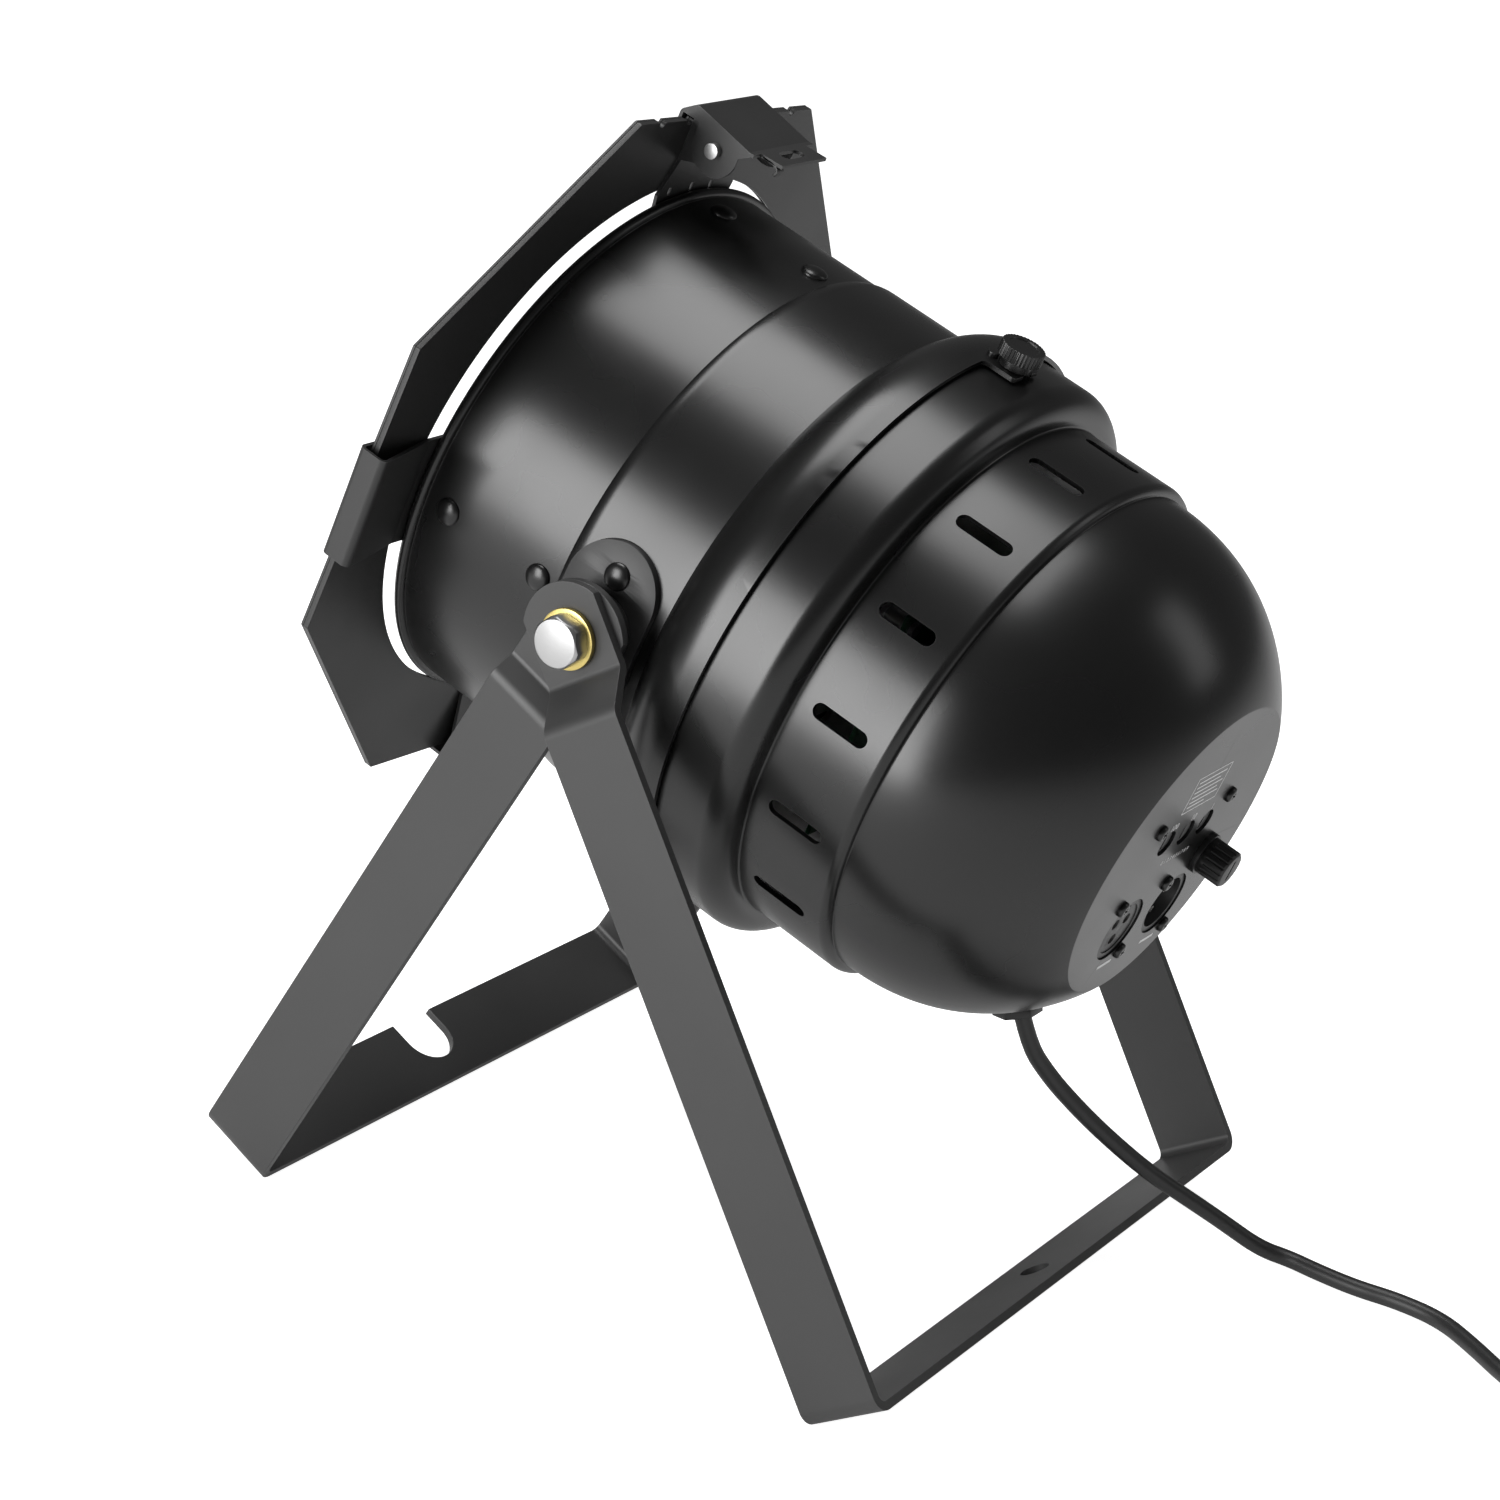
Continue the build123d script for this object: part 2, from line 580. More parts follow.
# ---------------------------------------------------------------- colour frame
def frame_outline():
    """The octagon's (x, u) face, before its opening is cut, set down in the bottom clip."""
    turn = math.radians(FRAME_TURN)
    half_flat = FRAME_FLATS / 2
    support = half_flat / math.cos(turn) + (CLIP_WIDTH / 2 + FRAME_SHIFT_X) * math.tan(turn)
    drop = support - (CLIP_OUTSIDE - SHEET)
    octagon = RegularPolygon(half_flat, 8, major_radius=False, rotation=22.5)
    for x in FRAME_NOTCHES:
        octagon -= Pos(x, half_flat) * Circle(FRAME_NOTCH)
    ring = octagon - Pos(FRAME_OPENING_X, FRAME_OPENING_U) * Circle(FRAME_OPENING)
    return Pos(FRAME_SHIFT_X, drop) * Rot(0, 0, FRAME_TURN) * ring


def frame_layers():
    """The rear layer with its raised edge, and the front layer that lies on that edge."""
    ring = frame_outline()
    front_face = FRAME_BACK - FRAME_THICK
    edge = ring - Circle(FRAME_FLATS / 2 - FRAME_EDGE)
    rear = plate(ring, FRAME_BACK - FRAME_LAYER, FRAME_BACK)
    rear += plate(edge, front_face + FRAME_LAYER, FRAME_BACK - FRAME_LAYER)
    front = plate(ring, front_face, front_face + FRAME_LAYER)
    return rear, front


# ---------------------------------------------------------------- pivot hardware
def pivot_lug():
    """Oblong plate riveted to the barrel at +X, curved to the barrel."""
    shell = tube(LUG_TOP, SECOND_RADIUS, LUG_CENTRE - LUG_WIDTH, LUG_CENTRE + LUG_WIDTH)
    oblong = Pos(LUG_CENTRE, 0) * Rot(0, 0, 90) * SlotOverall(LUG_LENGTH, LUG_WIDTH)
    lug = shell & across(oblong, SECOND_RADIUS / 2, LUG_TOP + CUT)
    lug -= pin(BOLT_RADIUS, SECOND_RADIUS / 2, LUG_TOP + CUT)
    for angle in LUG_RIVET_ANGLES[:2]:
        lug -= turned(rivet_hole(LUG_CENTRE), angle)
    return lug


def pivot_spacer():
    start = LUG_TOP - CUT
    bar = pin(SPACER_RADIUS, start, INNER_EAR_FACE) - pin(BOLT_RADIUS, start - CUT, HEAD_FACE)
    return bar - rod(LUG_TOP, -2 * SPACER_RADIUS, 2 * SPACER_RADIUS)


def pivot_nut():
    """Weld nut inside the barrel wall."""
    inside = SECOND_RADIUS - WALL
    nut = across(hexagon(BOLT_FLATS), inside - WELD_NUT_DEPTH, inside)
    nut &= rod(inside, -BOLT_FLATS, BOLT_FLATS)
    return nut - pin(BOLT_RADIUS, inside - WELD_NUT_DEPTH - CUT, inside + CUT)


def pivot_bolt():
    head = across(hexagon(BOLT_FLATS), HEAD_FACE, HEAD_FACE + BOLT_HEAD)
    cone = pin(BOLT_FLATS / 2 + BOLT_CORNER, HEAD_FACE - CUT, HEAD_FACE + BOLT_HEAD)
    top = cone.edges().filter_by(GeomType.CIRCLE).sort_by(Axis.X)[-1]
    cone = chamfer(top, BOLT_CHAMFER)
    shank_end = SECOND_RADIUS - WALL - WELD_NUT_DEPTH - BOLT_SPARE
    return (head & cone) + pin(BOLT_RADIUS, shank_end, HEAD_FACE)


def pivot_washer():
    bore = pin(BOLT_RADIUS, WASHER_FACE - CUT, HEAD_FACE + CUT)
    return pin(PIVOT_WASHER_RADIUS, WASHER_FACE, HEAD_FACE) - bore


def bracket(half_span, reach, ear_mid, joggle_top, joggle_end):
    """A strip folded into a deep U, with its legs pointing down and its ears on the pivot."""
    half = STRIP_THICK / 2
    leg = half_span - half
    foot = half - reach
    right = [(leg, foot), (leg, -joggle_end), (ear_mid, -joggle_top), (ear_mid, EAR_END)]
    left = [(-a, b) for a, b in reversed(right)]
    face = folded(left + right, STRIP_THICK, STRIP_BEND)
    strip = extrude(Plane.XZ * face, STRIP_WIDTH / 2, both=True)
    below = Pos(0, -reach / 2) * Rectangle(STRIP_WIDTH, reach)
    side = half_span + CUT
    strip &= across(Circle(EAR_END) + below, -side, side)
    return strip - pin(BOLT_RADIUS + RUN_CLEARANCE, -side, side)


def bracket_outer():
    body = bracket(OUTER_HALF_SPAN, OUTER_REACH, EAR_FACE + STRIP_THICK / 2,
                   OUTER_JOGGLE_TOP, OUTER_JOGGLE_END)
    hole = extrude(Pos(0, 0, -OUTER_REACH - CUT) * Circle(MOUNT_HOLE / 2), 2 * CUT)
    return body - hole


def bracket_inner():
    body = bracket(INNER_HALF_SPAN, INNER_REACH, EAR_FACE - STRIP_THICK / 2,
                   INNER_JOGGLE_TOP, INNER_JOGGLE_END)
    end_y = -STRIP_WIDTH / 2 + NOTCH_ROUND_DEPTH
    mouth = Pos(NOTCH_CENTRE_X, end_y - STRIP_WIDTH / 2) * Rectangle(NOTCH_WIDTH, STRIP_WIDTH)
    notch = mouth + Pos(NOTCH_CENTRE_X, end_y) * Circle(NOTCH_WIDTH / 2)
    return body - extrude(Pos(0, 0, -INNER_REACH - CUT) * notch, 2 * CUT)


# ---------------------------------------------------------------- rear housing
def dome_line(depth):
    """The dome's curve, moved in by depth."""
    start = (DOME_START, NECK_RADIUS - depth)
    end = (PANEL_FACE - depth, PANEL_RADIUS - depth * 0.6)
    return Bezier(start, (start[0] + DOME_FULLNESS, start[1]),
                  (end[0] - PANEL_TURN_S, end[1] + PANEL_TURN_R), end)


def gland_frame():
    """Plane on the dome's lowest line where the gland sits, its normal pointing outwards."""
    curve = dome_line(0.0)
    low, high = 0.0, 1.0
    for _ in range(40):
        middle = (low + high) / 2
        if (curve @ middle).X < GLAND_S:
            low = middle
        else:
            high = middle
    spot = curve @ low
    way = curve % low
    return Plane(origin=(0, spot.X, -spot.Y), x_dir=(1, 0, 0), z_dir=(0, -way.Y, -way.X))


GLAND = gland_frame()


def on_gland(face, h_from, h_to):
    """A face drawn across the gland's axis, given a length along it."""
    return extrude(GLAND.offset(h_from) * face, h_to - h_from)


def rear_housing():
    turn = SHOULDER_END - SHOULDER_START
    flat = CUP_RADIUS - turn
    belt_turn = BELT_RADIUS - NECK_RADIUS
    outer_dome = dome_line(0.0)
    inner_dome = dome_line(SHELL)
    ledge_turn = turn - SHELL
    outside = [
        Line((CUP_FRONT, CUP_RADIUS), (SHOULDER_START, CUP_RADIUS)),
        CenterArc((SHOULDER_START, flat), turn, 90, -90),
        Line((SHOULDER_END, flat), (SHOULDER_END, BELT_RADIUS)),
        Line((SHOULDER_END, BELT_RADIUS), (BELT_END, BELT_RADIUS)),
        CenterArc((BELT_END, NECK_RADIUS), belt_turn, 90, -90),
        Line((BELT_END + belt_turn, NECK_RADIUS), (DOME_START, NECK_RADIUS)),
        outer_dome,
        Line((PANEL_FACE, PANEL_RADIUS), (PANEL_FACE, 0)),
    ]
    neck_in = NECK_RADIUS - SHELL
    belt_in = BELT_RADIUS - SHELL
    inside = [
        Line((CUP_FRONT, CUP_RADIUS - SHELL), (SHOULDER_START, CUP_RADIUS - SHELL)),
        CenterArc((SHOULDER_START, flat), ledge_turn, 90, -90),
        Line((LEDGE, flat), (LEDGE, belt_in)),
        Line((LEDGE, belt_in), (BELT_END, belt_in)),
        Line((BELT_END, belt_in), (BELT_END, neck_in)),
        Line((BELT_END, neck_in), (DOME_START, neck_in)),
        inner_dome,
        Line(inner_dome @ 1, (PANEL_BACK, 0)),
    ]
    ends = [Line((CUP_FRONT, CUP_RADIUS), (CUP_FRONT, CUP_RADIUS - SHELL)),
            Line((PANEL_FACE, 0), (PANEL_BACK, 0))]
    body = lathe(outside + inside + ends)
    vent = Rot(0, 0, 90) * SlotOverall(VENT_LENGTH, VENT_WIDTH)
    cutter = extrude(Pos(0, VENT_MIDDLE, BELT_RADIUS - 8) * vent, 14)
    for i in range(VENT_COUNT):
        body -= turned(cutter, (i + 0.5) * 360 / VENT_COUNT)
    body += on_gland(Circle(GLAND_SEAT_RADIUS), -GLAND_SEAT_DEPTH, GLAND_SEAT_PROUD)
    body -= on_gland(Circle(GLAND_TUBE), -20, 20)
    body -= post(THREAD_M5 + M5_HOLE_SPARE, CUP_RADIUS - CUT, CUP_RADIUS + CUT, KNOB_S)
    through = PANEL_FACE + 1
    behind = PANEL_BACK - 1
    for x in (XLR_FEMALE_X, XLR_MALE_X):
        body -= rod(XLR_HOLE_RADIUS, behind, through, x, XLR_U)
    for x, u in xlr_screw_places():
        body -= rod(M3, behind, through, x, u)
    for x in (-PANEL_SCREW_X, PANEL_SCREW_X):
        body -= rod(M3, behind, through, x, PANEL_SCREW_U)
    for x in (-DIAL_PITCH, 0, DIAL_PITCH):
        body -= rod(DIAL_HOLE, behind, through, x, DIAL_U)
    body -= rod(FUSE_TUBE, behind, through, FUSE_X, FUSE_U)
    return body


# ---------------------------------------------------------------- thumb screw
def thumb_screw():
    low = LIP_RADIUS + KNOB_COLLAR
    high = low + KNOB_HEIGHT
    head = post(KNOB_RADIUS, low, high, KNOB_S)
    rims = head.edges().filter_by(GeomType.CIRCLE)
    head = chamfer(rims, KNOB_CHAMFER)
    grip_circle = KNOB_RADIUS + KNOB_GRIP_OUT
    for i in range(KNOB_GRIPS):
        way = math.radians(360 / KNOB_GRIPS * i)
        x = grip_circle * math.cos(way)
        s = KNOB_S + grip_circle * math.sin(way)
        head -= post(KNOB_GRIP_RADIUS, low - CUT, high + CUT, s, x)
    collar = post(KNOB_COLLAR_RADIUS, LIP_RADIUS, low, KNOB_S)
    tip = CUP_RADIUS - SHELL - KNOB_NUT_HEIGHT - KNOB_TIP_SPARE
    return head + collar + post(THREAD_M5, tip, LIP_RADIUS, KNOB_S)


def knob_nut():
    """Weld nut under the housing's wall, for the thumb screw."""
    inside = CUP_RADIUS - SHELL
    low = inside - KNOB_NUT_HEIGHT
    nut = extrude(Pos(0, KNOB_S, low) * hexagon(M5_NUT_FLATS), KNOB_NUT_HEIGHT + CUT)
    nut &= rod(inside, CUP_FRONT, SHOULDER_START)
    return nut - post(THREAD_M5 + RUN_CLEARANCE, low - CUT, inside + CUT, KNOB_S)


# ---------------------------------------------------------------- rear panel parts
def xlr_screw_places():
    """Each connector has two screws, on one diagonal."""
    places = []
    for centre in (XLR_FEMALE_X, XLR_MALE_X):
        for sign in (-1, 1):
            places.append((centre + sign * XLR_SCREW_X, XLR_U + sign * XLR_SCREW_U))
    return places


def xlr_shell(x, bore_depth):
    face = PANEL_FACE - XLR_RECESS
    back = PANEL_BACK - XLR_DEPTH
    flange = plate(Pos(x, XLR_U) * Rectangle(XLR_FLANGE_WIDTH, XLR_FLANGE_HEIGHT),
                   PANEL_BACK - XLR_FLANGE, PANEL_BACK)
    body = flange + rod(XLR_BARREL_RADIUS, back, face, x, XLR_U)
    body -= rod(XLR_BORE, face - bore_depth, face + 1, x, XLR_U)
    for sx, su in xlr_screw_places():
        body -= rod(M3, PANEL_BACK - XLR_FLANGE - 1, PANEL_BACK + 1, sx, su)
    return body


def xlr_contact_places(x):
    places = []
    for angle in (145, 35, 270):
        way = math.radians(angle)
        places.append((x + XLR_PIN_CIRCLE * math.cos(way), XLR_U + XLR_PIN_CIRCLE * math.sin(way)))
    return places


def xlr_female_parts():
    face = PANEL_FACE - XLR_RECESS
    shell = xlr_shell(XLR_FEMALE_X, XLR_SOCKET_DEPTH)
    insert = rod(XLR_BORE, face - XLR_SOCKET_DEPTH, face - 0.4, XLR_FEMALE_X, XLR_U)
    contacts = []
    for x, u in xlr_contact_places(XLR_FEMALE_X):
        insert -= rod(2.0, face - XLR_SOCKET_DEPTH + 1.5, face, x, u)
        sleeve = tube(2.0, XLR_PIN_RADIUS + 0.1, face - XLR_SOCKET_DEPTH + 1.5, face - 2.5, x, u)
        contacts.append(sleeve)
    key = plate(Pos(XLR_FEMALE_X, XLR_U + XLR_BORE) * Rectangle(3.0, 3.6), face - 6, face)
    insert -= key
    return shell, insert, Compound(children=contacts)


def xlr_male_parts():
    face = PANEL_FACE - XLR_RECESS
    shell = xlr_shell(XLR_MALE_X, XLR_SOCKET_DEPTH)
    shell -= rod(FUSE_NUT + 0.4, PANEL_BACK - XLR_FLANGE - 1, PANEL_BACK + 1, FUSE_X, FUSE_U)
    floor = face - XLR_SOCKET_DEPTH
    insert = rod(XLR_BORE, floor, floor + 3, XLR_MALE_X, XLR_U)
    pins = []
    for x, u in xlr_contact_places(XLR_MALE_X):
        insert -= rod(XLR_PIN_RADIUS, floor - 1, floor + 4, x, u)
        pins.append(rod(XLR_PIN_RADIUS, floor, face - 2.2, x, u))
    return shell, insert, Compound(children=pins)


def screw(x, u, tip):
    """Domed machine screw in the panel."""
    head = rod(SCREW_HEAD_RADIUS, PANEL_FACE, PANEL_FACE + SCREW_HEAD, x, u)
    top = head.edges().filter_by(GeomType.CIRCLE).sort_by(Axis.Y)[-1]
    head = fillet(top, SCREW_HEAD * 0.75)
    cross = Rectangle(2.6, 0.6) + Rectangle(0.6, 2.6)
    head -= plate(Pos(x, u) * Rot(0, 0, 20) * cross, PANEL_FACE + 0.9, PANEL_FACE + 3)
    return head + rod(M3, tip, PANEL_FACE, x, u)


def panel_screws():
    """The connectors' four screws and the control board's two."""
    solids = [screw(x, u, PANEL_BACK - XLR_FLANGE - 3.5) for x, u in xlr_screw_places()]
    for x in (-PANEL_SCREW_X, PANEL_SCREW_X):
        solids.append(screw(x, PANEL_SCREW_U, PANEL_BACK - 5))
    return Compound(children=solids)


def panel_nuts():
    """Nuts of the connectors' screws and of the fuse holder."""
    solids = []
    start = PANEL_BACK - XLR_FLANGE
    for x, u in xlr_screw_places():
        face = Pos(x, u) * (hexagon(5.5) - Circle(M3))
        solids.append(plate(face, start - 2.4, start))
    ring = Pos(FUSE_X, FUSE_U) * (RegularPolygon(FUSE_NUT, 6) - Circle(FUSE_TUBE))
    solids.append(plate(ring, PANEL_BACK - FUSE_NUT_THICK, PANEL_BACK))
    return Compound(children=solids)


def board_posts():
    """Posts between the panel and the control board, and the screws that hold the board."""
    solids = []
    for x in (-PANEL_SCREW_X, PANEL_SCREW_X):
        sleeve = rod(STANDOFF_RADIUS, CONTROL_BOARD_FACE, PANEL_BACK, x, PANEL_SCREW_U)
        sleeve -= rod(M3, PANEL_BACK - 5, PANEL_BACK + 1, x, PANEL_SCREW_U)
        stem = rod(M3, CONTROL_BOARD_FACE - BOARD, CONTROL_BOARD_FACE, x, PANEL_SCREW_U)
        back = CONTROL_BOARD_FACE - BOARD
        head = rod(SCREW_HEAD_RADIUS, back - SCREW_HEAD, back, x, PANEL_SCREW_U)
        solids.append(sleeve + stem + head)
    return Compound(children=solids)


def control_board():
    face = Pos(0, 18.5) * Rectangle(66, 34)
    board = plate(face, CONTROL_BOARD_FACE - BOARD, CONTROL_BOARD_FACE)
    for x in (-PANEL_SCREW_X, PANEL_SCREW_X):
        board -= rod(M3, CONTROL_BOARD_FACE - 3, CONTROL_BOARD_FACE + 1, x, PANEL_SCREW_U)
    return board


def board_chips():
    """Parts on the back of the control board."""
    back = CONTROL_BOARD_FACE - BOARD
    solids = [plate(Pos(-8, 24) * Rectangle(18, 7.5), back - 3.5, back),
              plate(Pos(12, 22) * Rectangle(10, 6.5), back - 3.5, back),
              rod(3.2, back - 11, back, 14, 31),
              plate(Pos(-12, 10) * Rectangle(16, 8), back - 8, back)]
    return Compound(children=solids)


def dial_bodies():
    solids = []
    for x in (-DIAL_PITCH, 0, DIAL_PITCH):
        case = Pos(x, DIAL_U) * Rectangle(DIAL_BODY, DIAL_BODY)
        body = plate(case, CONTROL_BOARD_FACE, DIAL_BODY_FACE)
        pocket = DIAL_ROTOR_FACE - DIAL_ROTOR_THICK
        body -= rod(DIAL_ROTOR + RUN_CLEARANCE, pocket, DIAL_BODY_FACE + CUT, x, DIAL_U)
        solids.append(body)
    return Compound(children=solids)


def dial_rotor(x):
    rotor = rod(DIAL_ROTOR, DIAL_ROTOR_FACE - DIAL_ROTOR_THICK, DIAL_ROTOR_FACE, x, DIAL_U)
    slot = Pos(x, DIAL_U) * Rectangle(1.1, 6.4)
    head = Pos(x, DIAL_U + 3.0) * Rot(0, 0, 90) * RegularPolygon(1.5, 3)
    return rotor - plate(slot + head, DIAL_ROTOR_FACE - 1.2, DIAL_ROTOR_FACE + 1)


def fuse_parts():
    collar_end = PANEL_FACE + FUSE_FLANGE_THICK
    bore = 4.6
    body = rod(FUSE_FLANGE, PANEL_FACE, collar_end, FUSE_X, FUSE_U)
    body += rod(FUSE_TUBE, FUSE_BODY_END, PANEL_FACE, FUSE_X, FUSE_U)
    body -= rod(bore, FUSE_BODY_END + 3, collar_end + 1, FUSE_X, FUSE_U)
    cap = rod(FUSE_CAP, collar_end, FUSE_CAP_END, FUSE_X, FUSE_U)
    rim = cap.edges().filter_by(GeomType.CIRCLE).sort_by(Axis.Y)[-1]
    cap = chamfer(rim, 0.8)
    for i in range(18):
        way = math.radians(20 * i)
        x = FUSE_X + (FUSE_CAP + 0.1) * math.cos(way)
        u = FUSE_U + (FUSE_CAP + 0.1) * math.sin(way)
        cap -= rod(0.5, collar_end + 2, FUSE_CAP_END + 1, x, u)
    cap -= plate(Pos(FUSE_X, FUSE_U) * Rectangle(1.2, 8), FUSE_CAP_END - 1.5, FUSE_CAP_END + 1)
    stem = bore - RUN_CLEARANCE
    carrier = rod(stem, collar_end - 12, collar_end, FUSE_X, FUSE_U)
    cap += carrier
    cap -= rod(2.5, collar_end - 13, collar_end - 5, FUSE_X, FUSE_U)
    fuse = rod(2.5, collar_end - 25, collar_end - 5, FUSE_X, FUSE_U)
    spring = rod(2.0, FUSE_BODY_END + 3, collar_end - 25, FUSE_X, FUSE_U)
    return body, cap, fuse + spring


# ---------------------------------------------------------------- light engine
def lens_places():
    """Three hexagonal rings round an empty middle."""
    places = []
    for ring in range(1, LENS_RINGS + 1):
        for side in range(6):
            start = math.radians(60 * side)
            end = math.radians(60 * (side + 1))
            for step in range(ring):
                part = step / ring
                x = ring * LENS_PITCH * ((1 - part) * math.cos(start) + part * math.cos(end))
                u = ring * LENS_PITCH * ((1 - part) * math.sin(start) + part * math.sin(end))
                places.append((x, u))
    return places


def engine_screw_places():
    return [(ENGINE_SCREW_R, 0), (-ENGINE_SCREW_R, 0), (0, ENGINE_SCREW_R), (0, -ENGINE_SCREW_R)]


def lenses():
    cone_end = LED_BOARD_FACE - LENS_HEIGHT + LENS_RIM
    outline = Polyline((LED_BOARD_FACE, 0), (LED_BOARD_FACE, LENS_BACK_RADIUS),
                       (cone_end, LENS_FRONT_RADIUS), (LED_BOARD_FACE - LENS_HEIGHT, LENS_FRONT_RADIUS),
                       (LED_BOARD_FACE - LENS_HEIGHT, 0), (LED_BOARD_FACE, 0))
    one = revolve(Plane.YZ * make_face(outline), axis=Axis.Y)
    return Compound(children=[Pos(x, 0, u) * one for x, u in lens_places()])


def led_mask():
    """Black cover round the lens rims."""
    face = Circle(LED_BOARD_RADIUS)
    for x, u in lens_places():
        face -= Pos(x, u) * Circle(LENS_FRONT_RADIUS + 0.3)
    for x, u in engine_screw_places():
        face -= Pos(x, u) * Circle(M3)
    return plate(face, MASK_BACK - MASK_THICK, MASK_BACK)


def engine_disc(radius, s_from, s_to):
    face = Circle(radius)
    for x, u in engine_screw_places():
        face -= Pos(x, u) * Circle(M3)
    return plate(face, s_from, s_to)


def engine_screws():
    """Long screws through mask, boards and brackets, each with its spacer sleeve and nut."""
    solids = []
    head_back = MASK_BACK - MASK_THICK
    end = ENGINE_FLANGE_FACE + SHEET
    for x, u in engine_screw_places():
        head = rod(SCREW_HEAD_RADIUS, head_back - SCREW_HEAD, head_back, x, u)
        shank = rod(M3, head_back, end + 3, x, u)
        sleeve = rod(STANDOFF_RADIUS, MASK_BACK, LED_BOARD_FACE, x, u)
        nut = plate(Pos(x, u) * hexagon(5.5), end, end + 2.4)
        solids.append(head + shank + sleeve + nut)
    return Compound(children=solids)


def engine_bracket():
    """Angle riveted inside the barrel; its flange stands behind the heat spreader."""
    flange_back = ENGINE_FLANGE_FACE + SHEET
    foot = sheet_foot(ENGINE_FOOT_WIDTH / 2, ENGINE_FOOT_FRONT, flange_back)
    centre = FOOT_RADIUS - ENGINE_FLANGE_DEPTH / 2
    flange = plate(Pos(0, centre) * Rectangle(ENGINE_FOOT_WIDTH, ENGINE_FLANGE_DEPTH),
                   ENGINE_FLANGE_FACE, flange_back)
    flange &= rod(FOOT_RADIUS, ENGINE_FLANGE_FACE - 1, flange_back + 1)
    body = foot + flange - rivet_hole(MID_RIVET_S)
    return body - rod(M3, ENGINE_FLANGE_FACE - 1, flange_back + 1, 0, ENGINE_SCREW_R)


# ---------------------------------------------------------------- chassis and power supply
def chassis_fixings():
    """Four studs on the housing's ledge with their nuts, and the supply board's four stand-offs."""
    front = LEDGE - CHASSIS_THICK
    solids = []
    for angle in (45, 135, 225, 315):
        nut = plate(Pos(0, CHASSIS_STUD_R) * Circle(2.4), front - 2, front)
        stud = rod(1.2, front - 4, LEDGE, 0, CHASSIS_STUD_R)
        solids.append(turned(nut + stud, angle))
    for x, u in supply_corners():
        sleeve = rod(STANDOFF_RADIUS, CHASSIS_BACK, SUPPLY_FACE, x, u)
        stem = rod(M3, front, SUPPLY_FACE + BOARD, x, u)
        front_head = rod(SCREW_HEAD_RADIUS, front - SCREW_HEAD, front, x, u)
        back = SUPPLY_FACE + BOARD
        back_head = rod(SCREW_HEAD_RADIUS, back, back + SCREW_HEAD, x, u)
        solids.append(sleeve + stem + front_head + back_head)
    return Compound(children=solids)


def supply_corners():
    x = SUPPLY_WIDTH / 2 - SUPPLY_HOLE_INSET
    u = SUPPLY_HEIGHT / 2 - SUPPLY_HOLE_INSET
    return [(x, u), (-x, u), (-x, -u), (x, -u)]


def chassis_plate():
    face = Circle(CHASSIS_RADIUS) - Pos(0, LOOM_HOLE_U) * Circle(CHASSIS_HOLE / 2)
    for x, u in supply_corners():
        face -= Pos(x, u) * Circle(M3)
    for x in (-66, 66):
        for u in (-28, -14, 0, 14, 28):
            face -= Pos(x, u) * SlotOverall(16, 5)
    body = plate(face, LEDGE - CHASSIS_THICK, LEDGE)
    for angle in (45, 135, 225, 315):
        body -= turned(rod(1.2, LEDGE - 5, LEDGE + 1, 0, CHASSIS_STUD_R), angle)
    return body


def supply_board():
    face = Rectangle(SUPPLY_WIDTH, SUPPLY_HEIGHT)
    for x, u in supply_corners():
        face -= Pos(x, u) * Circle(M3)
    return plate(face, SUPPLY_FACE, SUPPLY_FACE + BOARD)


def supply_parts():
    """Transformer, heat sink, and the capacitors and terminal block, on the supply board."""
    top = SUPPLY_FACE + BOARD
    core = plate(Pos(-24, 4) * Rectangle(44, 38), top, top + 32)
    bobbin = plate(Pos(-24, 4) * Rectangle(26, 50), top + 7, top + 25)
    transformer = core + bobbin
    small = [rod(9, top, top + 30, 14, 24), rod(9, top, top + 30, 14, 3),
             rod(5, top, top + 16, 14, -14), rod(5, top, top + 16, 28, -30),
             plate(Pos(*TERMINALS) * Rectangle(30, 10), top, top + TERMINAL_HEIGHT)]
    sink = plate(Pos(40, 4) * Rectangle(4, 50), top, top + 26)
    for u in range(-18, 27, 7):
        sink += plate(Pos(34.5, u) * Rectangle(8, 1.6), top + 3, top + 26)
    return transformer, Compound(children=small), sink


# ---------------------------------------------------------------- gland
def gland_parts():
    inside = -GLAND_SEAT_DEPTH
    bore = CORD_RADIUS + RUN_CLEARANCE
    body = on_gland(Circle(GLAND_TUBE) - Circle(bore), inside - GLAND_INNER_HEIGHT,
                    GLAND_SEAT_PROUD + GLAND_NUT_HEIGHT + 0.6)
    inner_head = on_gland(hexagon(GLAND_FLATS) - Circle(bore), inside - GLAND_INNER_HEIGHT, inside)
    body += inner_head
    nut = on_gland(hexagon(GLAND_FLATS) - Circle(GLAND_TUBE), GLAND_SEAT_PROUD,
                   GLAND_SEAT_PROUD + GLAND_NUT_HEIGHT)
    return body, nut


# ---------------------------------------------------------------- placing
def in_can(shape):
    return Pos(0, 0, PIVOT_HEIGHT) * Rot(-CAN_TILT, 0, 0) * shape


def in_outer(shape):
    return Pos(0, 0, PIVOT_HEIGHT) * Rot(OUTER_LEAN, 0, 0) * shape


def in_inner(shape):
    return Pos(0, 0, PIVOT_HEIGHT) * Rot(-INNER_LEAN, 0, 0) * shape


